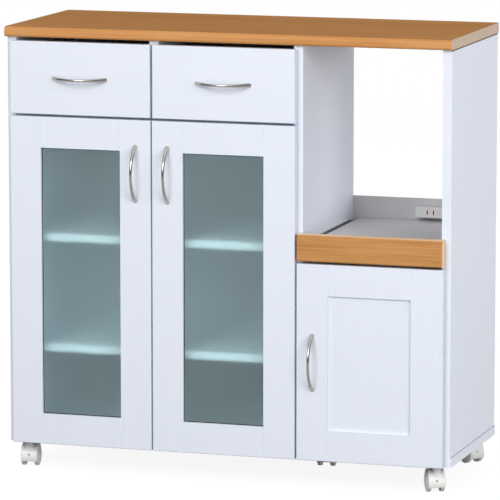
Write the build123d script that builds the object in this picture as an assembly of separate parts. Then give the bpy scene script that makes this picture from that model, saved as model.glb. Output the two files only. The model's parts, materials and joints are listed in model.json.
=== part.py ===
from build123d import *
import os
from math import asin, acos, cos, degrees, hypot, radians, sin

# A white kitchen counter cabinet on casters, in millimetres.
# X runs to the viewer's right, Y to the back and Z up from the floor.
# The origin is on the floor, under the middle of the cabinet and its handles.

# Carcass boards
carcass_w = 890.0          # over the outside of the side panels
carcass_d = 348.0          # side panels, front to back
side_h = 780.0             # side panels, from base board to worktop
board_t = 18.0             # side panels, partition, divider and decks
deck_setback = 40.0        # decks behind the carcass front, so the gaps over the doors stay dark
seam_bevel = 1.2           # side panels' outer top edges, under the worktop
bay_w = 274.0              # clear width of the right-hand bay
base_t = 18.0
base_proud = 3.0           # base board past each side panel
base_corner_r = 8.0
worktop_t = 20.0
worktop_side = 2.0         # worktop past each side panel
worktop_front = 14.0       # worktop past the carcass front
nose_top_r = 9.0           # rounding of the worktop's front edge
nose_low_r = 6.0
back_t = 3.0               # hardboard backs
rail_t = 3.0               # low hardboard rail across the back of the bay
rail_h = 72.0

# Shelves on pins
shelf_t = 15.0
shelf_setback = 12.0       # behind the carcass front
shelf_clear = 1.0          # each end and the back
lower_shelf_lift = 163.0   # base board to the shelf's underside
upper_shelf_lift = 381.0
bay_shelf_lift = 178.0
shelf_pin_r = 2.5
shelf_pin_sunk = 8.0
shelf_pin_out = 8.0
shelf_pin_inset = 40.0     # from the shelf's front and back edges
hole_clear = 0.05          # round a pin in its hole

# Fronts, which half cover the board edges behind them
front_t = 16.0
front_gap = 2.5            # between a front's back and the carcass
front_edge_r = 1.5
pair_gap = 3.0             # between the two glass doors
drawer_gap = 5.0           # between the two drawer fronts
partition_gap = 4.0        # between the fronts that share the partition
row_gap = 5.0              # between a row of fronts and the row below
worktop_gap = 7.0          # above the drawer fronts
base_reveal = 1.0          # base board that shows under the doors
drawer_front_h = 141.0
panel_door_h = 381.0
tray_front_h = 52.0
tray_front_t = 18.0
tray_front_r = 3.0

# Framed doors
stile_w = 62.0
rail_h_door = 60.0
joint_groove = 1.2         # V groove along each stile and rail joint
lip_t = 7.0                # frame in front of the glass
rebate_w = 8.0
glass_t = 4.0
glass_clear = 1.0
panel_set = 5.0            # recess of the flat panel
panel_t = 5.0
panel_in = 7.0             # panel edge held in the frame's groove
panel_clear = 0.2

# Bow handles
handle_span = 105.0        # between the feet, on the centre line
handle_rise = 27.0         # centre line above the front
handle_mid_w = 5.5
handle_mid_t = 5.0
handle_foot_w = 9.0
handle_foot_t = 7.0
handle_root = 6.0          # how far the bow is drawn past its cut feet
door_handle_drop = 47.0    # from the glass doors' top edge

# Concealed hinges with one pin, which stays in the door
hinge_end = 80.0           # hinge centre from a glass door's end
panel_hinge_end = 70.0     # and from the panel door's
hinge_pin_edge = 6.5       # pin from the door's edge
hinge_pin_deep = 10.0      # pin from the door's back face
hinge_pin_r = 1.0
hinge_run = 0.05           # running clearance round the pin
eye_r = 2.1
arm_t = 2.0
arm_w = 8.0
arm_web_t = 2.4
neck_clear = 0.6           # between the arm's neck and the swinging door corner
cup_r = 17.5
cup_edge = 3.0             # cup rim from the door's edge
cup_depth = 13.0
cup_wall = 0.6
cup_fit = 0.1              # cup in the hole bored for it
flange_t = 1.0
flange_rim = 1.0
flange_l = 62.0
flange_w = 14.0
lug_gap = 0.4
lug_t = 2.0
plate_t = 2.0
plate_l = 38.0
plate_w = 16.0
wing_l = 50.0
wing_w = 13.0
plate_setback = 12.0       # behind the carcass front

# Drawer boxes on grooved sides
drawer_l = 300.0
drawer_wall_t = 12.0
drawer_wall_h = 108.0
drawer_side_clear = 2.0
drawer_lift = 8.0          # box above its deck
drawer_bottom_t = 4.0
bottom_lift = 8.0
bottom_in = 5.0            # bottom held in the walls' grooves
groove_clear = 0.2
runner_h = 9.0
runner_out = 7.5
runner_l = 285.0
runner_setback = 15.0
runner_lift = 50.0         # runner above the box's lower edge
slide_clear = 0.2

# Pull-out tray
tray_t = 12.0
tray_drop = 17.0           # tray surface below its front's top edge
tray_back_gap = 3.0
tray_rail_w = 15.0         # room for the rails at each side
fixed_flange = 6.0         # how far the fixed rail's flanges stand out from the wall
tray_rail_h = 28.0
tray_rail_top = 2.0        # fixed rail above the tray surface
tray_rail_l = 300.0
rail_steel = 1.2
rail_clear = 0.4
rail_reach_clear = 1.0     # between the moving rail's flanges and the fixed rail's web

# Outlet strip on the bay's back rail
outlet_from_partition = 134.0
outlet_lift = 36.0         # above the tray deck
outlet_w = 100.0
outlet_h = 22.0
outlet_d = 22.0
outlet_edge_r = 2.0
socket_pitch = 38.0
socket_w = 24.5
socket_h = 13.0
socket_t = 6.0
socket_fit = 0.1
slot_w = 2.4
slot_h = 8.5
slot_pitch = 12.7
contact_t = 1.0
contact_l = 9.0
outlet_cavity_d = 13.0
outlet_cavity_h = 12.0
gland_r = 6.0
gland_bore_r = 3.5

# Twin-wheel casters
caster_h = 54.0
front_inset_x = 34.0       # front kingpins from the base board's ends
front_inset_y = 20.0       # and from the carcass front
back_inset_x = 32.0        # back kingpins from the base board's ends
back_inset_y = 38.0        # and from the carcass back
centre_inset_y = 188.0     # middle kingpin from the carcass front
caster_plate = 30.0
caster_plate_t = 2.0
kingpin_r = 4.0
kingpin_end = 24.3
kingpin_seat = 0.3
caster_run = 0.05
caster_trail = 14.0        # axle behind the kingpin
wheel_r = 21.0
tread_w = 6.8
wheel_dome = 3.0           # the outer face swells past the tread
hub_r = 9.0                # flat middle of the outer face
wheel_edge_r = 1.2
wheel_gap = 1.0            # beside the hood's core
core_w = 17.2
axle_r = 2.5
axle_short = 1.0           # axle end inside the wheel's outer face
axle_boss_r = 6.0
hood_clear = 1.0
hood_t = 1.6
hood_side = 0.4            # tread past the hood at each side
hood_front_deg = 206.0     # the hood's two ends, round the axle
hood_back_deg = 40.0
turret_r = 7.5             # neck round the kingpin, within the core
turret_low = 28.0
turret_gap = 0.8
hood_hole_r = 1.8
hood_hole_lift = 3.5       # above the axle
front_left_turn = 9.0      # where each caster points at rest, in degrees
front_right_turn = 26.0
rear_left_turn = 12.0
rear_right_turn = 47.0
centre_turn = 4.0

# Places worked out from the sizes
handle_reach = handle_rise + handle_mid_t / 2
cabinet_d = handle_reach + front_t + front_gap + carcass_d
back_y = cabinet_d / 2
front_y = back_y - carcass_d
front_back_y = front_y - front_gap
front_face_y = front_back_y - front_t
side_x = carcass_w / 2
right_in = side_x - board_t
left_in = -right_in
part_right = right_in - bay_w
part_left = part_right - board_t
divider_x = (left_in + part_left) / 2
floor_z = caster_h + base_t
worktop_z = floor_z + side_h
overlay = (board_t - partition_gap) / 2
pair_x0 = left_in - overlay
pair_x1 = part_left + overlay
pair_w = (pair_x1 - pair_x0 - pair_gap) / 2
bay_x0 = part_right - overlay
bay_x1 = right_in + overlay
door_z0 = caster_h + base_reveal
drawer_z1 = worktop_z - worktop_gap
drawer_z0 = drawer_z1 - drawer_front_h
door_z1 = drawer_z0 - row_gap
panel_door_z1 = door_z0 + panel_door_h
tray_front_z0 = panel_door_z1 + row_gap
tray_front_z1 = tray_front_z0 + tray_front_h
drawer_deck_z = (door_z1 + drawer_z0 - board_t) / 2
tray_deck_z = (panel_door_z1 + tray_front_z0 - board_t) / 2
drawer_deck_top = drawer_deck_z + board_t
tray_deck_top = tray_deck_z + board_t
inner_back_y = back_y - back_t
rail_front_y = back_y - rail_t
tray_z = tray_front_z1 - tray_drop


def block(x0, x1, y0, y1, z0, z1):
    """A box between two opposite corners."""
    middle = Pos((x0 + x1) / 2, (y0 + y1) / 2, (z0 + z1) / 2)
    return middle * Box(x1 - x0, y1 - y0, z1 - z0)


def rod_x(r, x0, x1, y, z):
    """A round bar along X."""
    return Pos((x0 + x1) / 2, y, z) * Rot(0, 90, 0) * Cylinder(r, x1 - x0)


def rod_y(r, x, y0, y1, z):
    """A round bar along Y."""
    return Pos(x, (y0 + y1) / 2, z) * Rot(90, 0, 0) * Cylinder(r, y1 - y0)


def rod_z(r, x, y, z0, z1):
    """A round bar along Z."""
    return Pos(x, y, (z0 + z1) / 2) * Cylinder(r, z1 - z0)


def front_edges(solid):
    """The edges round a piece's front face."""
    return solid.faces().sort_by(Axis.Y)[0].edges()


nodes = {}

# Shelves: the left cabinet has two, the lower right cabinet one
shelf_y0 = front_y + shelf_setback
shelf_y1 = inner_back_y - shelf_clear
shelf_pin_ys = (shelf_y0 + shelf_pin_inset, shelf_y1 - shelf_pin_inset)


def shelf(x0, x1, lift):
    """A loose shelf between two walls."""
    z0 = floor_z + lift
    return block(x0 + shelf_clear, x1 - shelf_clear, shelf_y0, shelf_y1, z0, z0 + shelf_t)


def shelf_pins(wall_x, inward, lift, clear=0.0):
    """The two pins in one wall under a shelf, or with a clearance the holes for them."""
    z = floor_z + lift - shelf_pin_r
    sunk = wall_x - inward * (shelf_pin_sunk + clear)
    out = wall_x + inward * shelf_pin_out
    return [rod_x(shelf_pin_r + clear, min(sunk, out), max(sunk, out), y, z) for y in shelf_pin_ys]


shelf_seats = [
    (left_in, 1, lower_shelf_lift),
    (part_left, -1, lower_shelf_lift),
    (left_in, 1, upper_shelf_lift),
    (part_left, -1, upper_shelf_lift),
    (part_right, 1, bay_shelf_lift),
    (right_in, -1, bay_shelf_lift),
]
pin_holes = [hole for seat in shelf_seats for hole in shelf_pins(*seat, clear=hole_clear)]
nodes["left_shelves"] = [shelf(left_in, part_left, lift) for lift in (lower_shelf_lift, upper_shelf_lift)]
nodes["right_shelf"] = [shelf(part_right, right_in, bay_shelf_lift)]
nodes["shelf_pins"] = [pin for seat in shelf_seats for pin in shelf_pins(*seat)]

# Carcass boards
base_x = side_x + base_proud
base = block(-base_x, base_x, front_y, back_y, caster_h, floor_z)
nodes["base_panel"] = [fillet(base.edges().filter_by(Axis.Z), base_corner_r)]

top_x = side_x + worktop_side
worktop = block(-top_x, top_x, front_y - worktop_front, back_y, worktop_z, worktop_z + worktop_t)
nose = worktop.edges().filter_by(Axis.X).group_by(Axis.Y)[0].sort_by(Axis.Z)
worktop = fillet(nose[-1], nose_top_r)
nose = worktop.edges().filter_by(Axis.X).sort_by(Axis.Z)
low_nose = nose.group_by(Axis.Z)[0].sort_by(Axis.Y)[0]
nodes["worktop"] = [fillet(low_nose, nose_low_r)]

left_side = block(-side_x, left_in, front_y, back_y, floor_z, worktop_z)
left_seam = left_side.edges().filter_by(Axis.Y).group_by(Axis.Z)[-1].sort_by(Axis.X)[0]
nodes["left_side_panel"] = [chamfer(left_seam, seam_bevel) - pin_holes]
right_side = block(right_in, side_x, front_y, back_y, floor_z, worktop_z)
right_seam = right_side.edges().filter_by(Axis.Y).group_by(Axis.Z)[-1].sort_by(Axis.X)[-1]
nodes["right_side_panel"] = [chamfer(right_seam, seam_bevel) - pin_holes]
nodes["centre_partition"] = [block(part_left, part_right, front_y, back_y, floor_z, worktop_z) - pin_holes]
deck_y = front_y + deck_setback
nodes["drawer_deck"] = [block(left_in, part_left, deck_y, inner_back_y, drawer_deck_z, drawer_deck_top)]
nodes["tray_deck"] = [block(part_right, right_in, deck_y, inner_back_y, tray_deck_z, tray_deck_top)]
divider_x0 = divider_x - board_t / 2
divider_x1 = divider_x + board_t / 2
nodes["drawer_divider"] = [block(divider_x0, divider_x1, front_y, inner_back_y, drawer_deck_top, worktop_z)]
nodes["left_back_panel"] = [block(left_in, part_left, inner_back_y, back_y, floor_z, worktop_z)]
nodes["right_back_panel"] = [block(part_right, right_in, inner_back_y, back_y, floor_z, tray_deck_top)]

# Bay back rail with its outlet strip
outlet_x0 = part_right + outlet_from_partition
outlet_x1 = outlet_x0 + outlet_w
outlet_x = (outlet_x0 + outlet_x1) / 2
outlet_z0 = tray_deck_top + outlet_lift
outlet_z = outlet_z0 + outlet_h / 2
outlet_y0 = rail_front_y - outlet_d
socket_y1 = outlet_y0 + socket_t
socket_xs = (outlet_x - socket_pitch / 2, outlet_x + socket_pitch / 2)

rail = block(part_right, right_in, rail_front_y, back_y, tray_deck_top, tray_deck_top + rail_h)
gland = rod_y(gland_r, outlet_x, rail_front_y, back_y, outlet_z)
nodes["bay_back_rail"] = [rail - rod_y(gland_r + socket_fit, outlet_x, rail_front_y, back_y, outlet_z)]
nodes["outlet_gland"] = [gland - rod_y(gland_bore_r, outlet_x, rail_front_y, back_y, outlet_z)]


def centred(x, w, y0, y1, z, h):
    """A box centred on X and Z."""
    return block(x - w / 2, x + w / 2, y0, y1, z - h / 2, z + h / 2)


housing = block(outlet_x0, outlet_x1, outlet_y0, rail_front_y, outlet_z0, outlet_z0 + outlet_h)
housing = fillet(front_edges(housing), outlet_edge_r)
sockets = []
contacts = []
cavity_y1 = socket_y1 + outlet_cavity_d
for socket_x in socket_xs:
    pocket_w = socket_w + 2 * socket_fit
    pocket_h = socket_h + 2 * socket_fit
    housing -= centred(socket_x, pocket_w, outlet_y0, socket_y1, outlet_z, pocket_h)
    insert = centred(socket_x, socket_w, outlet_y0, socket_y1, outlet_z, socket_h)
    for slot_x in (socket_x - slot_pitch / 2, socket_x + slot_pitch / 2):
        insert -= centred(slot_x, slot_w, outlet_y0, socket_y1, outlet_z, slot_h)
        strip_x = slot_x + (slot_w + contact_t) / 2
        contacts.append(centred(strip_x, contact_t, socket_y1, socket_y1 + contact_l, outlet_z, slot_h))
    sockets.append(insert)
cavity_w = socket_pitch + slot_pitch + 2 * (slot_w + contact_t)
housing -= centred(outlet_x, cavity_w, socket_y1, cavity_y1, outlet_z, outlet_cavity_h)
nodes["outlet_housing"] = [housing - rod_y(gland_bore_r, outlet_x, cavity_y1, rail_front_y, outlet_z)]
nodes["outlet_sockets"] = sockets
nodes["outlet_contacts"] = contacts


# Bow handle, lying along X on the plane y = 0 and rising towards the viewer
def bow_handle():
    half = handle_span / 2
    bow_r = (half**2 + handle_rise**2) / (2 * handle_rise)
    centre_y = bow_r - handle_rise
    foot_deg = degrees(asin(half / bow_r))
    end_deg = degrees(acos((centre_y - handle_root) / bow_r))
    sections = []
    for step in range(-3, 4):
        turn = end_deg * step / 3
        grow = (turn / foot_deg) ** 2
        width = handle_mid_w + (handle_foot_w - handle_mid_w) * grow
        thick = handle_mid_t + (handle_foot_t - handle_mid_t) * grow
        along = (cos(radians(turn)), sin(radians(turn)), 0)
        centre = (bow_r * sin(radians(turn)), centre_y - bow_r * cos(radians(turn)), 0)
        sections.append(Plane(centre, x_dir=(0, 0, 1), z_dir=along) * Ellipse(width / 2, thick / 2))
    below = handle_root + handle_foot_t
    wide = handle_span + handle_foot_t * 4
    return loft(sections) - block(-wide, wide, 0, below * 2, -wide, wide)


lying_handle = bow_handle()
standing_handle = Rot(0, 90, 0) * lying_handle


# Framed doors: two stiles at full height, two rails between them
def door_frame(x0, x1, z0, z1):
    inner_x0 = x0 + stile_w
    inner_x1 = x1 - stile_w
    pieces = []
    for a, b in ((x0, inner_x0), (inner_x1, x1)):
        stile = block(a, b, front_face_y, front_back_y, z0, z1)
        outer = front_edges(stile).filter_by(lambda edge: not inner_x0 - 1 < edge.center().X < inner_x1 + 1)
        pieces.append(fillet(outer, front_edge_r))
    for a, b in ((z1 - rail_h_door, z1), (z0, z0 + rail_h_door)):
        rail_piece = block(inner_x0, inner_x1, front_face_y, front_back_y, a, b)
        outer = front_edges(rail_piece).filter_by(lambda edge: edge.center().Z in (z0, z1))
        pieces.append(fillet(outer, front_edge_r))
    grooves = []
    for joint_x in (inner_x0, inner_x1):
        for a, b in ((z1 - rail_h_door, z1), (z0, z0 + rail_h_door)):
            place = Pos(joint_x, front_face_y, (a + b) / 2) * Rot(0, 0, 45)
            grooves.append(place * Box(joint_groove, joint_groove, b - a))
    return [piece - grooves for piece in pieces]


def cut_all(pieces, cutters):
    """The same cutters taken out of each piece."""
    return [piece - cutters for piece in pieces]


def window(x0, x1, z0, z1, grow, y0, y1):
    """The frame's opening as a block, grown on all four sides."""
    low_z = z0 + rail_h_door - grow
    high_z = z1 - rail_h_door + grow
    return block(x0 + stile_w - grow, x1 - stile_w + grow, y0, y1, low_z, high_z)


# Hinge pieces for a door hung on its left edge, with the pin on the Z axis
cup_x = cup_edge + cup_r - hinge_pin_edge
cup_floor = hinge_pin_deep - cup_depth
wall_u = overlay - hinge_pin_edge
front_v = hinge_pin_deep + front_gap
plate_v0 = front_v + plate_setback
plate_v1 = plate_v0 + plate_l
hinge_pin_half = arm_w / 2 + lug_gap + lug_t


def cup_bore(grow):
    """The cup's round body, grown for the hole in the door."""
    r = cup_r + grow
    return Pos(cup_x, 0, 0) * rod_y(r, 0, cup_floor - grow, hinge_pin_deep, 0)


def hinge_cup():
    cavity_r = cup_r - cup_wall
    rim = rod_y(cup_r + flange_rim, cup_x, hinge_pin_deep, hinge_pin_deep + flange_t, 0)
    ears = centred(cup_x, flange_w, hinge_pin_deep, hinge_pin_deep + flange_t, 0, flange_l)
    inside = rod_y(cavity_r, cup_x, cup_floor + cup_wall, hinge_pin_deep + flange_t, 0)
    cup = cup_bore(0) + rim + ears - inside
    low_z = arm_w / 2 + lug_gap
    for z0 in (low_z, -low_z - lug_t):
        lug = block(-eye_r, eye_r, cup_floor + cup_wall / 2, eye_r, z0, z0 + lug_t)
        cup += lug & cup_bore(0)
    return cup - rod_z(hinge_pin_r, 0, 0, -hinge_pin_half, hinge_pin_half)


def hinge_arm():
    neck_r = hypot(hinge_pin_edge, hinge_pin_deep) + neck_clear
    outer_r = neck_r + arm_t
    leg_u0 = wall_u + plate_t
    neck = Circle(outer_r) - Circle(neck_r)
    quarter = Pos(leg_u0 + outer_r / 2, outer_r / 2) * Rectangle(outer_r, outer_r)
    web = Pos(outer_r / 2 - arm_t / 4, 0) * Rectangle(outer_r - arm_t / 2, arm_web_t)
    leg_l = plate_v1 - neck_r
    leg = Pos(leg_u0 + arm_t / 2, neck_r + leg_l / 2) * Rectangle(arm_t, leg_l)
    outline = Circle(eye_r) + web + (neck & quarter) + leg - Circle(hinge_pin_r + hinge_run)
    return extrude(outline, arm_w / 2, both=True)


def hinge_plate():
    u1 = wall_u + plate_t
    strip = block(wall_u, u1, plate_v0, plate_v1, -plate_w / 2, plate_w / 2)
    wing_v = (plate_v0 + plate_v1) / 2
    wings = block(wall_u, u1, wing_v - wing_w / 2, wing_v + wing_w / 2, -wing_l / 2, wing_l / 2)
    plate = strip + wings
    return fillet(plate.edges().filter_by(Axis.X), plate_t)


hinge_arms = []
hinge_plates = []


def hang(x0, x1, z0, z1, on_left, end):
    """Places for a door's two hinges: the fixed halves are kept, the door's holes and cups returned."""
    pin_x = x0 + hinge_pin_edge if on_left else x1 - hinge_pin_edge
    holes = []
    cups = []
    for z in (z0 + end, z1 - end):
        pieces = [hinge_arm(), hinge_plate(), hinge_cup(), cup_bore(cup_fit)]
        if not on_left:
            pieces = [mirror(piece, about=Plane.YZ) for piece in pieces]
        arm, plate, cup, hole = [Pos(pin_x, front_back_y - hinge_pin_deep, z) * piece for piece in pieces]
        pin = rod_z(hinge_pin_r, pin_x, front_back_y - hinge_pin_deep, z - hinge_pin_half, z + hinge_pin_half)
        hinge_arms.append(arm)
        hinge_plates.append(plate)
        holes.append(hole)
        cups.extend((cup, pin))
    return holes, cups


def glass_door(side, x0, x1, on_left):
    z0, z1 = door_z0, door_z1
    holes, cups = hang(x0, x1, z0, z1, on_left, hinge_end)
    lip_y = front_face_y + lip_t
    bead_y = lip_y + glass_t
    rebate = window(x0, x1, z0, z1, rebate_w, lip_y, front_back_y)
    bead_ring = window(x0, x1, z0, z1, rebate_w, bead_y, front_back_y)
    opening = window(x0, x1, z0, z1, 0, bead_y, front_back_y)
    beads = bead_ring - opening
    between = block(x0 + stile_w, x1 - stile_w, bead_y, front_back_y, z0, z1)
    nodes[f"{side}_door_frame"] = cut_all(door_frame(x0, x1, z0, z1), [rebate] + holes)
    nodes[f"{side}_door_glass"] = [window(x0, x1, z0, z1, rebate_w - glass_clear, lip_y, bead_y)]
    nodes[f"{side}_door_beads"] = list((beads - between).solids()) + list((beads & between).solids())
    nodes[f"{side}_door_hinge_cups"] = cups
    handle_x = x1 - stile_w / 2 if on_left else x0 + stile_w / 2
    handle_z = z1 - door_handle_drop - (handle_span + handle_foot_w) / 2
    nodes[f"{side}_door_handle"] = [Pos(handle_x, front_face_y, handle_z) * standing_handle]


glass_door("left", pair_x0, pair_x0 + pair_w, True)
glass_door("right", pair_x1 - pair_w, pair_x1, False)

# Panel door of the lower right cabinet, hung on its right edge
panel_y0 = front_face_y + panel_set
panel_y1 = panel_y0 + panel_t
panel_holes, panel_cups = hang(bay_x0, bay_x1, door_z0, panel_door_z1, False, panel_hinge_end)
panel_place = (bay_x0, bay_x1, door_z0, panel_door_z1)
panel_groove = window(*panel_place, panel_in + panel_clear, panel_y0, panel_y1 + panel_clear)
nodes["panel_door_frame"] = cut_all(door_frame(*panel_place), [panel_groove] + panel_holes)
nodes["panel_door_panel"] = [window(*panel_place, panel_in, panel_y0, panel_y1)]
nodes["panel_door_hinge_cups"] = panel_cups
panel_handle_place = Pos(bay_x0 + stile_w / 2, front_face_y, (door_z0 + panel_door_z1) / 2)
nodes["panel_door_handle"] = [panel_handle_place * standing_handle]
nodes["hinge_arms"] = hinge_arms
nodes["hinge_plates"] = hinge_plates

# Drawers, whose grooved sides run on strips
drawer_box_z0 = drawer_deck_top + drawer_lift
drawer_box_z1 = drawer_box_z0 + drawer_wall_h
drawer_back_y = front_back_y + drawer_l
runner_z0 = drawer_box_z0 + runner_lift
runner_z1 = runner_z0 + runner_h
runner_y0 = front_y + runner_setback
runner_y1 = runner_y0 + runner_l
runners = []


def drawer(side, x0, x1, front_x0, front_x1):
    """A drawer between two walls, behind its own front."""
    front = block(front_x0, front_x1, front_face_y, front_back_y, drawer_z0, drawer_z1)
    nodes[f"{side}_drawer_front"] = [fillet(front_edges(front), front_edge_r)]
    out_x0 = x0 + drawer_side_clear
    out_x1 = x1 - drawer_side_clear
    in_x0 = out_x0 + drawer_wall_t
    in_x1 = out_x1 - drawer_wall_t
    bottom_z0 = drawer_box_z0 + bottom_lift
    bottom_z1 = bottom_z0 + drawer_bottom_t
    bottom = block(in_x0 - bottom_in, in_x1 + bottom_in, front_back_y, drawer_back_y, bottom_z0, bottom_z1)
    reach = bottom_in + groove_clear
    slot = block(in_x0 - reach, in_x1 + reach, front_back_y, drawer_back_y, bottom_z0, bottom_z1 + groove_clear)
    cuts = [slot]
    for wall, inward in ((x0, 1), (x1, -1)):
        tip = wall + inward * runner_out
        runners.append(block(min(wall, tip), max(wall, tip), runner_y0, runner_y1, runner_z0, runner_z1))
        deep = tip + inward * slide_clear
        groove_x0, groove_x1 = min(wall, deep), max(wall, deep)
        groove_z0 = runner_z0 - slide_clear
        cuts.append(block(groove_x0, groove_x1, front_back_y, drawer_back_y, groove_z0, runner_z1 + slide_clear))
    sides = [
        block(out_x0, in_x0, front_back_y, drawer_back_y, drawer_box_z0, drawer_box_z1),
        block(in_x1, out_x1, front_back_y, drawer_back_y, drawer_box_z0, drawer_box_z1),
    ]
    back_y0 = drawer_back_y - drawer_wall_t
    back = block(in_x0, in_x1, back_y0, drawer_back_y, bottom_z1 + groove_clear, drawer_box_z1)
    nodes[f"{side}_drawer_walls"] = cut_all(sides, cuts) + [back]
    nodes[f"{side}_drawer_bottom"] = [bottom]
    handle_place = Pos((front_x0 + front_x1) / 2, front_face_y, (drawer_z0 + drawer_z1) / 2)
    nodes[f"{side}_drawer_handle"] = [handle_place * lying_handle]


drawer("left", left_in, divider_x0, pair_x0, divider_x - drawer_gap / 2)
drawer("right", divider_x1, part_left, divider_x + drawer_gap / 2, pair_x1)
nodes["drawer_runners"] = runners

# Pull-out tray on nested channel rails
tray_x0 = part_right + tray_rail_w
tray_x1 = right_in - tray_rail_w
tray_back_y = rail_front_y - tray_back_gap
tray_front = block(bay_x0, bay_x1, front_back_y - tray_front_t, front_back_y, tray_front_z0, tray_front_z1)
nodes["tray_front"] = [fillet(front_edges(tray_front), tray_front_r)]
nodes["tray_board"] = [block(tray_x0, tray_x1, front_back_y, tray_back_y, tray_z - tray_t, tray_z)]
rail_z1 = tray_z + tray_rail_top
rail_z0 = rail_z1 - tray_rail_h
tray_rail_y1 = front_y + tray_rail_l
inner_lift = rail_steel + rail_clear
fixed_rails = []
moving_rails = []
for wall, tray_edge, inward in ((part_right, tray_x0, 1), (right_in, tray_x1, -1)):
    flange_tip = wall + inward * fixed_flange
    hollow = wall + inward * rail_steel
    outside = block(min(wall, flange_tip), max(wall, flange_tip), front_y, tray_rail_y1, rail_z0, rail_z1)
    low, high = min(hollow, flange_tip), max(hollow, flange_tip)
    inside = block(low, high, front_y, tray_rail_y1, rail_z0 + rail_steel, rail_z1 - rail_steel)
    fixed_rails.append(outside - inside)
    moving_tip = hollow + inward * rail_reach_clear
    web = tray_edge - inward * rail_steel
    low, high = min(moving_tip, tray_edge), max(moving_tip, tray_edge)
    outside = block(low, high, front_back_y, tray_rail_y1, rail_z0 + inner_lift, rail_z1 - inner_lift)
    low, high = min(moving_tip, web), max(moving_tip, web)
    hollow_z0 = rail_z0 + inner_lift + rail_steel
    hollow_z1 = rail_z1 - inner_lift - rail_steel
    moving_rails.append(outside - block(low, high, front_back_y, tray_rail_y1, hollow_z0, hollow_z1))
nodes["tray_fixed_rails"] = fixed_rails
nodes["tray_moving_rails"] = moving_rails

# Casters: a plate, its kingpin, a hood that swivels on the pin, and two wheels on one axle
front_x = base_x - front_inset_x
back_x = base_x - back_inset_x
front_caster_y = front_y + front_inset_y
back_caster_y = back_y - back_inset_y
partition_x = (part_left + part_right) / 2
caster_places = {
    "front_left": (-front_x, front_caster_y, front_left_turn),
    "front_right": (front_x, front_caster_y, front_right_turn),
    "rear_left": (-back_x, back_caster_y, rear_left_turn),
    "rear_right": (back_x, back_caster_y, rear_right_turn),
    "centre": (partition_x, front_y + centre_inset_y, centre_turn),
}
caster_plate_z = caster_h - caster_plate_t
core_half = core_w / 2
wheel_in = core_half + wheel_gap
tread_out = wheel_in + tread_w
wheel_out = tread_out + wheel_dome
hood_half = tread_out - hood_side
well_r = wheel_r + hood_clear
hood_r = well_r + hood_t


def caster_plate_piece():
    half = caster_plate / 2
    plate = block(-half, half, -half, half, caster_plate_z, caster_h)
    return fillet(plate.edges().filter_by(Axis.Z), caster_plate_t)


def caster_hood():
    """The hood with its kingpin at the origin and its axle behind."""
    axle = Pos(caster_trail, wheel_r)
    spread = 360 + hood_back_deg - hood_front_deg
    far = hood_r * 3
    corners = [(0, 0)]
    for step in range(5):
        turn = radians(hood_front_deg + spread * step / 4)
        corners.append((far * cos(turn), far * sin(turn)))
    shell = axle * (Circle(hood_r) - Polygon(*corners, align=None))
    boss = axle * Circle(axle_boss_r)
    hood = extrude(Plane.YZ * shell, hood_half, both=True)
    hood += extrude(Plane.YZ * boss, core_half, both=True)
    hood += rod_z(turret_r, 0, 0, turret_low, caster_plate_z - turret_gap)
    far_x = hood_half + turret_r
    hood -= rod_x(well_r, core_half, far_x, caster_trail, wheel_r)
    hood -= rod_x(well_r, -far_x, -core_half, caster_trail, wheel_r)
    hood -= rod_z(kingpin_r + caster_run, 0, 0, kingpin_end - kingpin_seat, caster_h)
    hood -= rod_x(axle_r + caster_run, -core_half, core_half, caster_trail, wheel_r)
    hole_y = caster_trail - hood_r
    return hood - rod_y(hood_hole_r, 0, hole_y, hole_y + 2 * hood_t, wheel_r + hood_hole_lift)


def caster_wheel():
    """A wheel with a domed outer face, about the X axis."""
    swell = (tread_out + wheel_dome * sin(radians(45)), hub_r + (wheel_r - hub_r) * cos(radians(45)))
    inner = Polyline((wheel_out, hub_r), (wheel_out, 0), (wheel_in, 0), (wheel_in, wheel_r), (tread_out, wheel_r))
    dome = ThreePointArc((tread_out, wheel_r), swell, (wheel_out, hub_r))
    wheel = revolve(make_face(inner + dome), Axis.X)
    inner_rim = wheel.edges().filter_by(GeomType.CIRCLE).sort_by(Axis.X)[0]
    return fillet(inner_rim, wheel_edge_r)


def caster_wheels():
    """Two domed wheels pressed on one axle."""
    axle_half = wheel_out - axle_short
    axle = rod_x(axle_r, -axle_half, axle_half, caster_trail, wheel_r)
    wheel = Pos(0, caster_trail, wheel_r) * caster_wheel()
    return [axle, wheel - axle, mirror(wheel, about=Plane.YZ) - axle]


hood_piece = caster_hood()
wheel_pieces = caster_wheels()
plates = []
kingpins = []
for name, (x, y, turn) in caster_places.items():
    swivel = Pos(x, y, 0) * Rot(0, 0, turn)
    plates.append(Pos(x, y, 0) * caster_plate_piece())
    kingpins.append(rod_z(kingpin_r, x, y, kingpin_end, caster_plate_z))
    nodes[f"{name}_caster_hood"] = [swivel * hood_piece]
    nodes[f"{name}_caster_wheels"] = [swivel * piece for piece in wheel_pieces]
nodes["caster_plates"] = plates
nodes["caster_kingpins"] = kingpins

os.makedirs("parts", exist_ok=True)
for node, solids in nodes.items():
    export_step(Compound(label=node, children=solids), f"parts/{node}.step")
print(len(nodes), "nodes,", sum(len(solids) for solids in nodes.values()), "pieces")
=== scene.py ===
import json
from math import atan2, cos, pi, radians, sin

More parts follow.
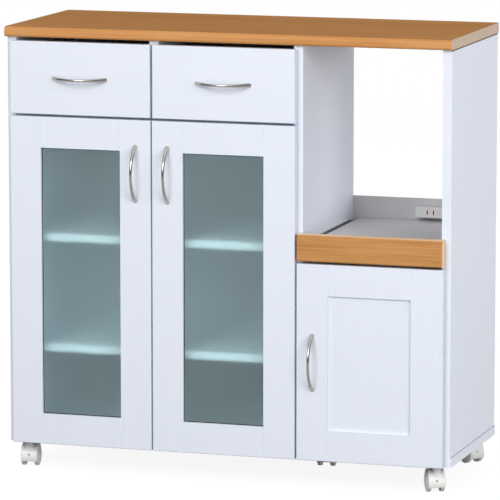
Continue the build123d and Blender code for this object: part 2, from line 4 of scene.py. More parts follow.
import bmesh
import bpy
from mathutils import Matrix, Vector


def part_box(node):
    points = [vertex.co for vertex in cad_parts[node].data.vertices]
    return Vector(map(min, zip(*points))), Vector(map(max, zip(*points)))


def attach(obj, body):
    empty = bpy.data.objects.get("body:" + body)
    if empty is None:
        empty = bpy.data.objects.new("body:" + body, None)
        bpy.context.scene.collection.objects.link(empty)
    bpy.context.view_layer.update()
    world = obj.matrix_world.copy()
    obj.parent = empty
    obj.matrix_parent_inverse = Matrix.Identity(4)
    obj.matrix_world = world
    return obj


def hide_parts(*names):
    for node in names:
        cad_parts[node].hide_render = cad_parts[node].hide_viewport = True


# A white kitchen counter cabinet on casters: its finishes and modelled details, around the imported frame.
# Everything is in metres, with X to the viewer's right, Y to the back and Z up from the floor.

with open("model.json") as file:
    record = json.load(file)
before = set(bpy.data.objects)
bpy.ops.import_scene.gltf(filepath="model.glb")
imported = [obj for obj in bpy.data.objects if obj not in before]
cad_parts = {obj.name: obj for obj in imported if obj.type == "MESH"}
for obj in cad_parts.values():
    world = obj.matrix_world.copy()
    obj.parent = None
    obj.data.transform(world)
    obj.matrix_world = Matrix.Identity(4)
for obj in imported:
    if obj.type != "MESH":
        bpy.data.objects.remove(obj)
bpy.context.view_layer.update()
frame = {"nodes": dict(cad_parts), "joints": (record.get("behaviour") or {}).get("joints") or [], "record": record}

MM = 0.001
MERGE = 0.01 * MM          # points nearer than this are made one
NIP = 0.1 * MM             # room for rounding where a place is compared
FACING = 0.9               # a face looks along an axis when its normal reaches this far along it
CASTERS = ("front_left", "front_right", "rear_left", "rear_right", "centre")


# Small tools for modelling

def deselect():
    bpy.ops.object.select_all(action="DESELECT")


def activate(piece):
    """Selects one piece alone."""
    deselect()
    piece.select_set(True)
    bpy.context.view_layer.objects.active = piece


def edit(piece):
    activate(piece)
    bpy.ops.object.mode_set(mode="EDIT")


def leave_edit():
    bpy.ops.object.mode_set(mode="OBJECT")


def pick(piece, kind, test):
    """In edit mode, selects only the edges or the faces that pass a test."""
    mesh = bmesh.from_edit_mesh(piece.data)
    bpy.ops.mesh.select_mode(type={"edges": "EDGE", "faces": "FACE"}[kind])
    bpy.ops.mesh.select_all(action="DESELECT")
    for element in getattr(mesh, kind):
        if test(element):
            element.select_set(True)
    mesh.select_flush_mode()
    bmesh.update_edit_mesh(piece.data)


def middle(edge):
    """The point half way along an edge."""
    return (edge.verts[0].co + edge.verts[1].co) / 2


def inset_rings(piece, looks, rings):
    """In edit mode, insets a flat end ring by ring. Each ring has a width and a rise, in millimetres."""
    pick(piece, "faces", looks)
    for width, rise in rings:
        bpy.ops.mesh.inset(thickness=width * MM, depth=rise * MM)


def merge_points():
    """In edit mode, makes points that lie together one, all over the piece."""
    bpy.ops.mesh.select_all(action="SELECT")
    bpy.ops.mesh.remove_doubles(threshold=MERGE)


def named(name):
    """The object that the last operator added, named and with its place put into its mesh."""
    piece = bpy.context.object
    piece.name = name
    piece.data.name = name
    bpy.ops.object.transform_apply(location=True, rotation=True, scale=True)
    return piece


def block(name, low, high):
    """A box between two corners, to be shaped further."""
    deselect()
    bpy.ops.mesh.primitive_cube_add(size=1, location=(Vector(low) + Vector(high)) / 2)
    bpy.ops.transform.resize(value=Vector(high) - Vector(low))
    return named(name)


def rod(name, low, high, radius, sides):
    """A round bar between two points on a line along X or Z, to be shaped further."""
    deselect()
    low, high = Vector(low), Vector(high)
    turn = (0, pi / 2, 0) if high.x > low.x else (0, 0, 0)
    bpy.ops.mesh.primitive_cylinder_add(vertices=sides, radius=radius, depth=(high - low).length,
                                        location=(low + high) / 2, rotation=turn)
    return named(name)


def apply_modifier(piece, kind, **settings):
    activate(piece)
    modifier = piece.modifiers.new(kind.lower(), kind)
    for key, value in settings.items():
        setattr(modifier, key, value)
    bpy.ops.object.modifier_apply(modifier=modifier.name)


def soften(piece, width, sharper_than=30):
    """Rounds every edge sharper than an angle in degrees, and leaves the flats flat to the eye."""
    activate(piece)
    bpy.ops.object.shade_smooth()
    apply_modifier(piece, "BEVEL", width=width, segments=2, limit_method="ANGLE",
                   angle_limit=radians(sharper_than), harden_normals=True)


def cut_away(piece, tool):
    """Cuts the tool's shape out of a piece and takes the tool away."""
    apply_modifier(piece, "BOOLEAN", object=tool, operation="DIFFERENCE", solver="EXACT")
    bpy.data.objects.remove(tool)


def settle(piece, place, turn):
    """Turns a piece, moves it to its place and puts both into its mesh."""
    activate(piece)
    piece.rotation_euler = turn
    piece.location = place
    bpy.ops.object.transform_apply(location=True, rotation=True, scale=True)


def copied(piece, name, place, turn):
    """A copy with its own mesh, turned and then moved to its place."""
    activate(piece)
    bpy.ops.object.duplicate()
    twin = named(name)
    settle(twin, place, turn)
    return twin


def gathered(name, pieces):
    """Several pieces made one."""
    deselect()
    for piece in pieces:
        piece.select_set(True)
    bpy.context.view_layer.objects.active = pieces[0]
    bpy.ops.object.join()
    return named(name)


def dress(piece, finish, slot, body, *nodes):
    """Gives a new piece its finish and the body it rides on, and hides the nodes it stands for. Its slot is not
    used.
    """
    piece.data.materials.clear()
    piece.data.materials.append(finish)
    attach(piece, body)
    if nodes:
        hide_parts(*nodes)


# Small tools for finishes

def linear(hex_colour):
    """An sRGB hex colour as linear RGBA."""
    shares = [int(hex_colour[i:i + 2], 16) / 255 for i in (0, 2, 4)]
    return [c / 12.92 if c <= 0.04045 else ((c + 0.055) / 1.055) ** 2.4 for c in shares] + [1.0]


def add(tree, kind, inputs=None, **settings):
    """Adds a node, with its settings, and with plain values or links on its inputs."""
    node = tree.nodes.new(kind)
    for key, value in settings.items():
        setattr(node, key, value)
    for socket, value in (inputs or {}).items():
        if isinstance(value, bpy.types.NodeSocket):
            tree.links.new(value, node.inputs[socket])
        else:
            node.inputs[socket].default_value = value
    return node


def new_finish(name, **constants):
    """A new material, its tree and its shader, with the shader's constant sockets set."""
    material = bpy.data.materials.new(name)
    material.use_nodes = True
    shader = material.node_tree.nodes["Principled BSDF"]
    for socket, value in constants.items():
        shader.inputs[socket.replace("_", " ")].default_value = value
    return material, material.node_tree, shader


def uneven(tree, cell, **settings):
    """An uneven pattern on object coordinates, with cells of a size along X, Y and Z, in millimetres."""
    place = add(tree, "ShaderNodeTexCoord")
    cells = add(tree, "ShaderNodeMapping", {
        "Vector": place.outputs["Object"], "Scale": [1 / (size * MM) for size in cell]})
    pattern = add(tree, "ShaderNodeTexNoise", {"Vector": cells.outputs[0], "Scale": 1.0, **settings})
    return pattern.outputs["Fac"]


def shaded(tree, pattern, colours, low=0.3, high=0.7):
    """A pattern in hex colours, spread evenly from a low to a high value of it."""
    node = add(tree, "ShaderNodeValToRGB", {"Fac": pattern})
    stops = node.color_ramp.elements
    while len(stops) < len(colours):
        stops.new(0.5)
    for index, colour in enumerate(colours):
        stops[index].position = low + (high - low) * index / (len(colours) - 1)
        stops[index].color = linear(colour)
    return node.outputs["Color"]


def beyond(tree, axis, limit):
    """1 where the piece lies beyond a limit along one axis, either way for X, and 0 elsewhere."""
    place = add(tree, "ShaderNodeTexCoord")
    axes = add(tree, "ShaderNodeSeparateXYZ", {"Vector": place.outputs["Object"]})
    along = axes.outputs[axis]
    if axis == "X":
        along = add(tree, "ShaderNodeMath", {0: along}, operation="ABSOLUTE").outputs[0]
    return add(tree, "ShaderNodeMath", {0: along, 1: limit}, operation="GREATER_THAN").outputs[0]


def covered(tree, colour, mask, other):
    """A colour with another one over it where a mask is 1."""
    mix = add(tree, "ShaderNodeMixRGB", {"Fac": mask, "Color1": colour, "Color2": other})
    return mix.outputs["Color"]


def surface(tree, shader, colour, relief, strength, depth):
    """Gives a finish its colour, and raises a pattern from it by a depth in millimetres."""
    tree.links.new(colour, shader.inputs["Base Color"])
    bump = add(tree, "ShaderNodeBump", {"Height": relief, "Strength": strength, "Distance": depth * MM})
    tree.links.new(bump.outputs["Normal"], shader.inputs["Normal"])


# Where a finish changes on one piece

side_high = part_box("right_side_panel")[1]
base_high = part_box("base_panel")[1]
worktop_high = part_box("worktop")[1]
tray_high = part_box("tray_front")[1]
sockets_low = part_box("outlet_sockets")[0]

END_TAPE = 0.2 * MM        # tape on the worktop's ends
TRAY_EDGE_HIGHLIGHT = 0.8 * MM       # painted highlight over the edge tape, on the tray front's top edge and right end
SLOT_LIP = 0.6 * MM        # pale lip at the mouth of a socket's slot
SEAM_IN = 1.3 * MM         # painted shadow under the worktop, on the side panels' outer top edges, inwards
SEAM_DOWN = 2.8 * MM       # and down from the worktop
BACK_CUT = side_high.y - NIP   # boards show their raw back edges behind this

# Seams painted dark past a limit out along X and one up along Z, and the colour there: painted shade on the base
# board's ledge, painted shadow under the worktop's ends
BASE_LEDGE_SHADE = (side_high.x + NIP, base_high.z - NIP, "A2A2AA")
# the modelled bevel under the worktop's ends is hidden by its overhang, so the dark line there is a painted shadow
TOP_SEAM_SHADOW = (side_high.x - SEAM_IN, side_high.z - SEAM_DOWN, "302C2A")

RAW_BOARD = ("A98459", "D0B288")
RAW_BOARD_CHIP = 3.0       # in millimetres, as is the tuft
RAW_FIBRES = ("8A6440", "A57E56")
RAW_FIBRE_TUFT = 1.5


def raw_back(tree, colour, bare_colours, cell):
    """Shows the bare board, in chips or fibres of two colours, on the back edges that no foil covers."""
    chips = uneven(tree, [cell] * 3, Detail=3.0, Roughness=0.7)
    return covered(tree, colour, beyond(tree, "Y", BACK_CUT), shaded(tree, chips, bare_colours))


# Finishes

def white_foil(name, along, seam=None):
    """Paper foil pressed on particle board: cool white, satin, with a faint embossed grain along one axis.

    Past both limits of a seam the foil takes a darker colour, as painted shade."""
    material, tree, shader = new_finish(name, Roughness=0.5, Specular_IOR_Level=0.35)
    cell = [2.5] * 3
    cell["XYZ".index(along)] = 160
    fibres = uneven(tree, cell, Detail=4.0)
    colour = raw_back(tree, shaded(tree, fibres, ("E0E5F0", "E3E8F3")), RAW_BOARD, RAW_BOARD_CHIP)
    if seam:
        # the seam's colour is painted shade, darker than the foil
        out, up, bare = seam
        in_seam = add(tree, "ShaderNodeMath", {
            0: beyond(tree, "X", out), 1: beyond(tree, "Z", up)}, operation="MINIMUM")
        colour = covered(tree, colour, in_seam.outputs[0], linear(bare))
    surface(tree, shader, colour, fibres, strength=0.06, depth=0.1)
    return material


def worktop_print():
    """Wood print pressed on particle board, low gloss: long soft streaks, fine fibres and paler end tapes."""
    material, tree, shader = new_finish(
        "wood_print_pressed_worktop", Roughness=0.42, Specular_IOR_Level=0.2)
    streaks = uneven(tree, (420, 16, 16), Detail=5.0, Distortion=0.5)
    fibres = uneven(tree, (90, 1.8, 1.8), Detail=3.0)
    blend = add(tree, "ShaderNodeMix", {"Factor": 0.35, "A": streaks, "B": fibres})
    wood = shaded(tree, blend.outputs["Result"], ("BB7F46", "CA8F55", "D59D64"), 0.32, 0.68)
    taped = covered(tree, wood, beyond(tree, "X", worktop_high.x - END_TAPE), linear("CBB5A2"))
    colour = raw_back(tree, taped, RAW_BOARD, RAW_BOARD_CHIP)
    surface(tree, shader, colour, fibres, strength=0.08, depth=0.1)
    return material


def tray_front_print():
    """Wood print pressed on particle board, satin: uneven wavy growth lines, fine fibres, and a paler band on the
    top edge and right end, a painted highlight over the edge tape.
    """
    material, tree, shader = new_finish(
        "wood_print_pressed_tray_front", Roughness=0.5, Specular_IOR_Level=0.3)
    lines = uneven(tree, (220, 5, 5), Detail=2.0, Distortion=0.4)
    fibres = uneven(tree, (60, 1.5, 1.5), Detail=3.0)
    blend = add(tree, "ShaderNodeMix", {"Factor": 0.4, "A": lines, "B": fibres})
    wood = shaded(tree, blend.outputs["Result"], ("AF7842", "BF884F", "C99359"), 0.35, 0.65)
    on_edge = add(tree, "ShaderNodeMath", {
        0: beyond(tree, "Z", tray_high.z - TRAY_EDGE_HIGHLIGHT), 1: beyond(tree, "X", tray_high.x - TRAY_EDGE_HIGHLIGHT)},
        operation="MAXIMUM")
    # the pale band on the edges is a painted highlight
    colour = covered(tree, wood, on_edge.outputs[0], linear("EACCA6"))
    surface(tree, shader, colour, fibres, strength=0.08, depth=0.1)
    return material


def hardboard(name, colours):
    """Wood fibre board, painted or bare in front: dull, softly pebbled, with brown fibres at the back."""
    material, tree, shader = new_finish(name, Roughness=0.65, Specular_IOR_Level=0.3)
    pebbles = uneven(tree, (3, 3, 3), Detail=3.0)
    colour = raw_back(tree, shaded(tree, pebbles, colours), RAW_FIBRES, RAW_FIBRE_TUFT)
    surface(tree, shader, colour, pebbles, strength=0.15, depth=0.1)
    return material


def plain(name, colours, cell, rough, metal=0.0, depth=0.05):
    """A finish with a mottle of two close colours. Its cell and its depth are in millimetres.

    Where the real mottle is too fine to show, the cell is drawn coarser."""
    material, tree, shader = new_finish(name, Roughness=rough, Metallic=metal)
    mottle = uneven(tree, [cell] * 3, Detail=3.0)
    surface(tree, shader, shaded(tree, mottle, colours), mottle, strength=0.15, depth=depth)
    return material


def socket_moulding():
    """ABS, moulded: warm pale grey and satin. Inside the slots it is near black, partly the dark insert of a
    socket and partly painted shade in the slots.
    """
    material, tree, shader = new_finish("abs_grey_moulded", Roughness=0.4)
    mottle = uneven(tree, (1, 1, 1), Detail=3.0)
    pale = shaded(tree, mottle, ("DAD2D4", "DED6D8"))
    in_slot = beyond(tree, "Y", sockets_low.y + SLOT_LIP)
    # near black past the slots' pale lip: painted shade in the slots, together with the socket's dark insert
    colour = covered(tree, pale, in_slot, linear("0E0C0C"))
    surface(tree, shader, colour, mottle, strength=0.15, depth=0.05)
    return material


def frosted_pane():
    """Float glass, sand blasted: grey green, it blurs what stands behind it. Lamps reach through it."""
    material, tree, shader = new_finish(
        "float_glass_sand_blasted", Roughness=0.4, IOR=1.45, Transmission_Weight=0.98,
        Base_Color=linear("D2E0DD"))
    path = add(tree, "ShaderNodeLightPath")
    clear = add(tree, "ShaderNodeBsdfTransparent", {"Color": linear("DEEAE9")})
    mix = add(tree, "ShaderNodeMixShader", {
        0: path.outputs["Is Shadow Ray"], 1: shader.outputs[0], 2: clear.outputs[0]})
    tree.links.new(mix.outputs[0], tree.nodes["Material Output"].inputs["Surface"])
    return material


upright_white = white_foil("paper_foil_white_upright_grain", "Z")
level_white = white_foil("paper_foil_white_level_grain", "X")
slot_finishes = {
    "white_board": upright_white,
    "worktop_wood": worktop_print(),
    "tray_wood": tray_front_print(),
    # Melamine, pressed on board: an even grey with some sheen
    "grey_laminate": plain("melamine_grey_pressed", ("CFCFD2", "D7D7DA"), cell=1.5, rough=0.4),
    "hardboard": hardboard("hardboard_white_painted", ("DADDE4", "E0E3EA")),
    "frosted_glass": frosted_pane(),
    # PVC, extruded: smooth and white, to go with the foil
    "white_plastic": plain("pvc_white_extruded", ("E0E3EA", "E4E7EE"), cell=2, rough=0.4),
    # Zinc alloy, plated in satin nickel: warm grey, with clear reflections
    "satin_nickel": plain("zinc_alloy_satin_nickel", ("BDB9B3", "C6C2BC"),
                          cell=0.8, rough=0.2, metal=1.0, depth=0.005),
    # Steel, zinc plated: bright and cool, a little cloudy
    "zinc_steel": plain("steel_zinc_plated", ("BFC2C6", "CBCED2"),
                        cell=2, rough=0.3, metal=1.0, depth=0.01),
    # Steel, powder coated: white, with a fine peel
    "white_steel": plain("steel_white_powder_coat", ("E0E2E6", "E5E7EB"), cell=0.8, rough=0.45),
    # Steel, painted: soft black. On the tray's moving rails it also stands for painted shade in the gap beside the
    # tray
    "black_steel": plain("steel_black_painted", ("1E1E1E", "262626"), cell=1, rough=0.5),
    # Nylon, moulded: ivory and satin
    "ivory_nylon": plain("nylon_ivory_moulded", ("ECECE9", "F0F0ED"), cell=2, rough=0.4),
    "outlet_plastic": socket_moulding(),
    # Brass strip, rolled: yellow and fairly bright
    "brass": plain("brass_strip_rolled", ("C9A04E", "D3AC5C"), cell=1, rough=0.3, metal=1.0, depth=0.01),
    # Rubber, moulded: dull black
    "black_rubber": plain("rubber_black_moulded", ("1A1A1A", "222222"), cell=1, rough=0.7),
    # Beech, planed: bare wood, pale brown and dull
    "beech": plain("beech_planed", ("C49A68", "D0A878"), cell=4, rough=0.55),
}
node_finishes = {
    # the base board, with painted shade along its ledge outside the side panels
    "base_panel": white_foil("paper_foil_white_raw_ledge", "X", BASE_LEDGE_SHADE),
    "bay_back_rail": hardboard("hardboard_grey_painted", ("C3C2C4", "C9C8CA")),
    # ABS, moulded: the housing is a cooler grey than its sockets
    "outlet_housing": plain("abs_grey_moulded_housing", ("D2D3D0", "D6D7D4"), cell=1, rough=0.4),
}
# the side panels, with a painted shadow line under the worktop's ends
white_with_seam_shadow = white_foil("paper_foil_white_raw_seam", "Z", TOP_SEAM_SHADOW)
bare_hardboard = hardboard("hardboard_bare", RAW_FIBRES)
for node in ("left_shelves", "right_shelf", "drawer_deck", "tray_deck"):
    node_finishes[node] = level_white
for side in ("left", "right"):
    node_finishes[f"{side}_side_panel"] = white_with_seam_shadow
    node_finishes[f"{side}_drawer_front"] = level_white
    node_finishes[f"{side}_drawer_walls"] = level_white
    node_finishes[f"{side}_drawer_bottom"] = bare_hardboard
for subpart in frame["record"]["subparts"]:
    materials = frame["nodes"][subpart["node"]].data.materials
    materials.clear()
    materials.append(node_finishes.get(subpart["node"], slot_finishes[subpart["material_slot"]]))


# Casters: a moulded hood over two domed wheels on one axle

AXLE_TRAIL = 14 * MM
WHEEL_R = 21 * MM
WHEEL_IN = 9.6 * MM        # a wheel's inner face from the middle
TREAD_W = 6.8 * MM
WHEEL_SIDES = 72
AXLE_R = 2.5 * MM
CORE_HALF = 8.6 * MM       # the hood's core, between the wheels
BOSS_R = 6 * MM            # the core starts this far from the axle
WELL_R = 22 * MM           # and the shell over the wheels starts here
SHELL_T = 1.6 * MM
HOOD_HALF = 16 * MM        # the shell, each way from the middle
HOOD_BACK = radians(40)    # where the hood ends behind, round the axle
HOOD_SWEEP = radians(166)
HOOD_STEPS = 40
NECK_R = 7.5 * MM
NECK_LOW = 28 * MM
NECK_TOP = 51.2 * MM
NECK_SIDES = 40
HOLE_R = 1.8 * MM
HOLE_Z = 24.5 * MM
HOLE_DEEP = 12 * MM
PIN_SIDES = 24             # the hole and the axle

# Rings of a wheel's two faces from the tread to the hub, as widths and rises in millimetres
OUTER_RINGS = ((0.4, 0), (4.5, 1.5), (4.5, 0.9), (3.0, 0.4), (0.6, -0.6), (3.0, 0), (0.5, 0.8), (2.6, 0.2))
INNER_RINGS = ((3.0, 0), (0.6, -2.0), (9.0, 0), (0.6, 1.5))

# Roundings
HOOD_ROUND = 0.7 * MM
NECK_ROUND = 0.6 * MM
WHEEL_ROUND = 0.5 * MM
WHEEL_SHARP = 35           # degrees, so that the rings of the dome stay smooth
AXLE_ROUND = 0.4 * MM


def caster_hood():
    """A hood on a neck round Z, where the kingpin stands: one section, spun about the axle behind it.

    A small hole is bored in its front."""
    deselect()
    bpy.ops.mesh.primitive_plane_add(size=1, location=(0, (WELL_R + BOSS_R) / 2, 0))
    bpy.ops.transform.resize(value=(2 * CORE_HALF, WELL_R - BOSS_R, 1))
    hood = named("caster_hood")
    edit(hood)
    pick(hood, "edges", lambda edge: min(v.co.y for v in edge.verts) > WELL_R - NIP)
    bpy.ops.mesh.extrude_region_move(TRANSFORM_OT_translate={"value": (0, SHELL_T, 0)})
    for way in (-1, 1):
        pick(hood, "edges",
             lambda edge: middle(edge).x * way > CORE_HALF - NIP and middle(edge).y > WELL_R + NIP)
        bpy.ops.mesh.extrude_region_move(
            TRANSFORM_OT_translate={"value": (way * (HOOD_HALF - CORE_HALF), 0, 0)})
    pick(hood, "faces", lambda face: True)
    bpy.ops.mesh.spin(steps=HOOD_STEPS, angle=-HOOD_SWEEP, center=(0, 0, 0), axis=(1, 0, 0))
    merge_points()
    bpy.ops.mesh.normals_make_consistent(inside=False)
    leave_edit()
    settle(hood, (0, AXLE_TRAIL, WHEEL_R), (HOOD_BACK, 0, 0))
    soften(hood, HOOD_ROUND)
    front = AXLE_TRAIL - WELL_R - SHELL_T
    hole = rod("hole", (0, 0, 0), (0, 0, 2 * HOLE_DEEP), HOLE_R, PIN_SIDES)
    settle(hole, (0, front + HOLE_DEEP, HOLE_Z), (pi / 2, 0, 0))
    cut_away(hood, hole)
    neck = rod("neck", (0, 0, NECK_LOW), (0, 0, NECK_TOP), NECK_R, NECK_SIDES)
    soften(neck, NECK_ROUND)
    return gathered("caster_hood", [hood, neck])


def caster_wheel_pair():
    """Two wheels pressed on an axle along X, each with a domed outer face and a hollow inner one."""
    wheel_out = WHEEL_IN + TREAD_W
    wheel = rod("wheel", (WHEEL_IN, 0, 0), (wheel_out, 0, 0), WHEEL_R, WHEEL_SIDES)
    edit(wheel)
    inset_rings(wheel, lambda face: face.normal.x > FACING, OUTER_RINGS)
    inset_rings(wheel, lambda face: face.normal.x < -FACING, INNER_RINGS)
    leave_edit()
    soften(wheel, WHEEL_ROUND, WHEEL_SHARP)
    edit(wheel)
    merge_points()
    bpy.ops.mesh.dissolve_degenerate(threshold=MERGE)
    leave_edit()
    other = copied(wheel, "wheel", (0, 0, 0), (0, 0, pi))
    axle = rod("axle", (-wheel_out, 0, 0), (wheel_out, 0, 0), AXLE_R, PIN_SIDES)
    soften(axle, AXLE_ROUND)
    return gathered("caster_wheels", [wheel, other, axle])


joints = {joint["name"]: joint for joint in frame["joints"]}
nylon = slot_finishes["ivory_nylon"]
hood_form = caster_hood()
wheels_form = caster_wheel_pair()
for caster in CASTERS:
    kingpin = joints[f"{caster}_caster_turn"]["pos_m"]
    roll = joints[f"{caster}_caster_roll"]
    turn = (0, 0, atan2(roll["axis"][1], roll["axis"][0]))
    hood = copied(hood_form, f"{caster}_hood_moulding", (kingpin[0], kingpin[1], 0), turn)
    dress(hood, nylon, "ivory_nylon", f"{caster}_caster_swivel", f"{caster}_caster_hood")
    wheels = copied(wheels_form, f"{caster}_wheel_pair", roll["pos_m"], turn)
    dress(wheels, nylon, "ivory_nylon", f"{caster}_caster_wheels", f"{caster}_caster_wheels")
for form in (hood_form, wheels_form):
    bpy.data.objects.remove(form)


# Thin black rubber strips round the glass, seen as a dark line round it: partly a gasket, partly painted shade for
# the gap between frame and glass

GLASS_HELD = 7 * MM        # the glass past its opening, at each side
GASKET_W = 1.8 * MM
GASKET_T = 0.8 * MM
GASKET_GRIP = 0.1 * MM     # pressed past the face of the glass
GASKET_ROUND = 0.3 * MM

for side in ("left", "right"):
    low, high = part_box(f"{side}_door_glass")
    gasket = block(f"{side}_door_gasket",
                   (low.x + GLASS_HELD, low.y - GASKET_T, low.z + GLASS_HELD),
                   (high.x - GLASS_HELD, low.y + GASKET_GRIP, high.z - GLASS_HELD))
    edit(gasket)
    pick(gasket, "faces", lambda face: abs(face.normal.y) > FACING)
    bpy.ops.mesh.inset(thickness=GASKET_W)
    bpy.ops.mesh.bridge_edge_loops()
    leave_edit()
    soften(gasket, GASKET_ROUND)
    dress(gasket, slot_finishes["black_rubber"], "black_rubber", f"{side}_door")


# Screws with cross heads, gathered by the body they ride on

HEAD_R = 3.4 * MM
HEAD_SUNK = 0.3 * MM       # below the seat
HEAD_RIM = 0.8 * MM        # above the seat
HEAD_RINGS = ((0.5, 0.4), (1.0, 0.3), (1.0, 0.1))
HEAD_SIDES = 20
HEAD_SMOOTH = radians(35)
CROSS_HALF = 2.0 * MM      # half of an arm's length
CROSS_THIN = 0.45 * MM     # half of an arm's width
CROSS_LOW = 0.5 * MM
CROSS_TOP = 3.0 * MM       # well above the head
TO_BACK = (-pi / 2, 0, 0)
TO_FLOOR = (pi, 0, 0)
TO_RIGHT = (0, pi / 2, 0)
TO_LEFT = (0, -pi / 2, 0)


def screw_head():
    """A low domed head, seated on the origin and facing up."""
    head = rod("screw_head", (0, 0, -HEAD_SUNK), (0, 0, HEAD_RIM), HEAD_R, HEAD_SIDES)
    edit(head)
    inset_rings(head, lambda face: face.normal.z > FACING, HEAD_RINGS)
    leave_edit()
    for x, y in ((CROSS_HALF, CROSS_THIN), (CROSS_THIN, CROSS_HALF)):
        cut_away(head, block("cross_arm", (-x, -y, CROSS_LOW), (x, y, CROSS_TOP)))
    activate(head)
    bpy.ops.object.shade_smooth_by_angle(angle=HEAD_SMOOTH)
    return head


# Each door's way inwards from its hinged edge, and its hinges from its ends
DOORS = {"left_door": (1, 80 * MM), "right_door": (-1, 80 * MM), "panel_door": (-1, 70 * MM)}
CUP_IN = 20.5 * MM         # middle of a hinge cup from the door's edge
FLANGE_T = 1.0 * MM        # the cup's flange, on the door's back
EAR_OFF = 25 * MM          # cup screws above and below the cup's middle
OVERLAY = 7.0 * MM         # the door's edge past the face that its hinges are screwed to
PLATE_T = 2.0 * MM
WING_OFF = 20 * MM         # plate screws above and below the arm
HANDLE_HALF = 48 * MM      # the 96 mm handle pattern
CORNER = 11.5 * MM         # caster screws from the kingpin, each way
fronts_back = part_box("left_door_frame")[1].y
wing_y = sum(corner.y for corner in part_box("hinge_plates")) / 2
caster_plate_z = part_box("caster_plates")[0].z

screw_form = screw_head()
screws = {"carcass": []}
for door, (inward, hinge_end) in DOORS.items():
    low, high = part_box(f"{door}_frame")
    edge = low.x if inward > 0 else high.x
    cup_x = edge + inward * CUP_IN
    plate_x = edge + inward * (OVERLAY + PLATE_T)
    to_middle = TO_RIGHT if inward > 0 else TO_LEFT
    screws[door] = []
    for z in (low.z + hinge_end, high.z - hinge_end):
        for way in (-1, 1):
            ear = (cup_x, fronts_back + FLANGE_T, z + way * EAR_OFF)
            screws[door].append(copied(screw_form, "screw", ear, TO_BACK))
            wing = (plate_x, wing_y, z + way * WING_OFF)
            screws["carcass"].append(copied(screw_form, "screw", wing, to_middle))
for front in ("left_drawer", "right_drawer", *DOORS):
    low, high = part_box(f"{front}_handle")
    centre = (low + high) / 2
    lies_flat = high.x - low.x > high.z - low.z
    along = Vector((HANDLE_HALF, 0, 0)) if lies_flat else Vector((0, 0, HANDLE_HALF))
    for way in (-1, 1):
        foot = centre + way * along
        foot.y = fronts_back
        screws.setdefault(front, []).append(copied(screw_form, "screw", foot, TO_BACK))
for caster in CASTERS:
    kingpin = joints[f"{caster}_caster_turn"]["pos_m"]
    for x in (-CORNER, CORNER):
        for y in (-CORNER, CORNER):
            corner = (kingpin[0] + x, kingpin[1] + y, caster_plate_z)
            screws["carcass"].append(copied(screw_form, "screw", corner, TO_FLOOR))
for body, heads in screws.items():
    dress(gathered(f"{body}_screws", heads), slot_finishes["zinc_steel"], "zinc_steel", body)
bpy.data.objects.remove(screw_form)


# Studio: a soft sky, a pale floor, cards that only reflections show, and soft boxes

SKY_LIGHT = 0.45           # strength of the sky that lights the cabinet
SKY_SHOWN = 1.0            # and of the sky that is seen
FLOOR_SIZE = 12.0
FLOOR_SHOWN = 0.9          # glow of the floor where it is seen
FLOOR_MIRRORED = 0.4       # and where metal reflects it


def seen_by(tree, *rays):
    """1 for the kinds of ray that are named, and 0 for the light that falls on the cabinet."""
    path = add(tree, "ShaderNodeLightPath")
    seen = path.outputs[rays[0]]
    for ray in rays[1:]:
        seen = add(tree, "ShaderNodeMath", {0: seen, 1: path.outputs[ray]}, operation="MAXIMUM").outputs[0]
    return seen


def soft_sky():
    """A white sky that lights the cabinet less than it shows."""
    world = bpy.data.worlds.new("soft_sky")
    bpy.context.scene.world = world
    world.use_nodes = True
    tree = world.node_tree
    lit = tree.nodes["Background"]
    lit.inputs["Color"].default_value = linear("FFFFFF")
    lit.inputs["Strength"].default_value = SKY_LIGHT
    shown = add(tree, "ShaderNodeBackground", {"Color": linear("FFFFFF"), "Strength": SKY_SHOWN})
    seen = seen_by(tree, "Is Camera Ray", "Is Glossy Ray", "Is Transmission Ray")
    mix = add(tree, "ShaderNodeMixShader", {0: seen, 1: lit.outputs[0], 2: shown.outputs[0]})
    tree.links.new(mix.outputs[0], tree.nodes["World Output"].inputs["Surface"])


def studio_floor():
    """A grey floor that takes the shadow, with a glow over it that makes it pale to the eye."""
    deselect()
    bpy.ops.mesh.primitive_plane_add(size=FLOOR_SIZE)
    floor = named("studio_floor")
    finish, tree, shader = new_finish("pale_studio_floor", Roughness=0.9, Base_Color=linear("6A6A6A"))
    shown = add(tree, "ShaderNodeMath", {
        0: seen_by(tree, "Is Camera Ray", "Is Transmission Ray"), 1: FLOOR_SHOWN}, operation="MULTIPLY")
    mirrored = add(tree, "ShaderNodeMath", {
        0: seen_by(tree, "Is Glossy Ray"), 1: FLOOR_MIRRORED}, operation="MULTIPLY")
    strength = add(tree, "ShaderNodeMath", {
        0: shown.outputs[0], 1: mirrored.outputs[0]}, operation="MAXIMUM")
    glow = add(tree, "ShaderNodeEmission", {"Color": linear("FFFFFF"), "Strength": strength.outputs[0]})
    lifted = add(tree, "ShaderNodeAddShader", {0: shader.outputs[0], 1: glow.outputs[0]})
    tree.links.new(lifted.outputs[0], tree.nodes["Material Output"].inputs["Surface"])
    floor.data.materials.append(finish)


def card(name, low, high, finish):
    """A board beside the set that gives metal something darker to reflect, and is seen no other way."""
    board = block(name, low, high)
    board.data.materials.append(finish)
    board.visible_camera = False
    board.visible_diffuse = False
    board.visible_transmission = False
    board.visible_volume_scatter = False
    board.visible_shadow = False


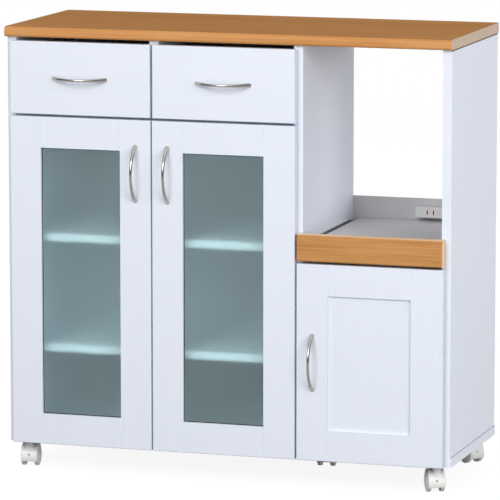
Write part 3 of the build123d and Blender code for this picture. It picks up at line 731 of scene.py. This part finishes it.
soft_sky()
studio_floor()
black_card = new_finish("black_studio_card", Roughness=0.9, Base_Color=linear("1C1C1C"))[0]
grey_card = new_finish("grey_studio_card", Roughness=0.9, Base_Color=linear("8C8C8C"))[0]
card("front_card", (-6, -9.02, -0.5), (6, -9, 2.2), black_card)
card("back_card", (-8, 6, 0.02), (8, 6.02, 9), black_card)
card("left_card", (-4.52, -9, 0.02), (-4.5, 1.5, 6), grey_card)
card("right_card", (4.5, -9, 0.02), (4.52, 1.5, 6), grey_card)

LAMP_TARGET = Vector((0, 0, 0.44))
LAMP_AWAY = 5.0


def direction(azimuth, elevation):
    """From the cabinet outwards: azimuth 0 is the front, and a positive one is to the right."""
    level = cos(elevation)
    return Vector((sin(azimuth) * level, -cos(azimuth) * level, sin(elevation)))


def soft_box(name, azimuth, elevation, size, level, mirrored=False):
    """A square lamp. Level is the brightness that it alone gives a white face turned to it."""
    lamp = bpy.data.lights.new(name, "AREA")
    lamp.shape = "SQUARE"
    lamp.size = size
    lamp.energy = level * (pi * LAMP_AWAY) ** 2
    holder = bpy.data.objects.new(name, lamp)
    bpy.context.scene.collection.objects.link(holder)
    out = direction(radians(azimuth), radians(elevation))
    holder.location = LAMP_TARGET + LAMP_AWAY * out
    holder.rotation_euler = (-out).to_track_quat("-Z", "Y").to_euler()
    holder.visible_camera = False
    holder.visible_glossy = mirrored


soft_box("key_box", azimuth=-10, elevation=28, size=1.8, level=0.4, mirrored=True)
soft_box("fill_box", azimuth=45, elevation=12, size=3.0, level=0.52)
soft_box("side_box", azimuth=85, elevation=12, size=3.0, level=0.08)
soft_box("back_box", azimuth=135, elevation=12, size=3.0, level=0.29)
soft_box("left_box", azimuth=-88, elevation=5, size=3.0, level=0.35)


# Camera at the photograph's angle

VIEW_TARGET = Vector((-0.00669, 0.02133, 0.42752))
VIEW_YAW = 0.30603         # radians, as is the pitch
VIEW_PITCH = 0.15226
VIEW_DISTANCE = 7.927
SENSOR_W = 36.0            # in millimetres, as is the lens
LENS = 291.05

camera_data = bpy.data.cameras.new("view")
camera_data.sensor_width = SENSOR_W
camera_data.lens = LENS
camera = bpy.data.objects.new("view", camera_data)
bpy.context.scene.collection.objects.link(camera)
camera.location = VIEW_TARGET + VIEW_DISTANCE * direction(VIEW_YAW, VIEW_PITCH)
camera.rotation_euler = (pi / 2 - VIEW_PITCH, 0, VIEW_YAW)
bpy.context.scene.camera = camera
bpy.context.scene.view_settings.view_transform = "Standard"
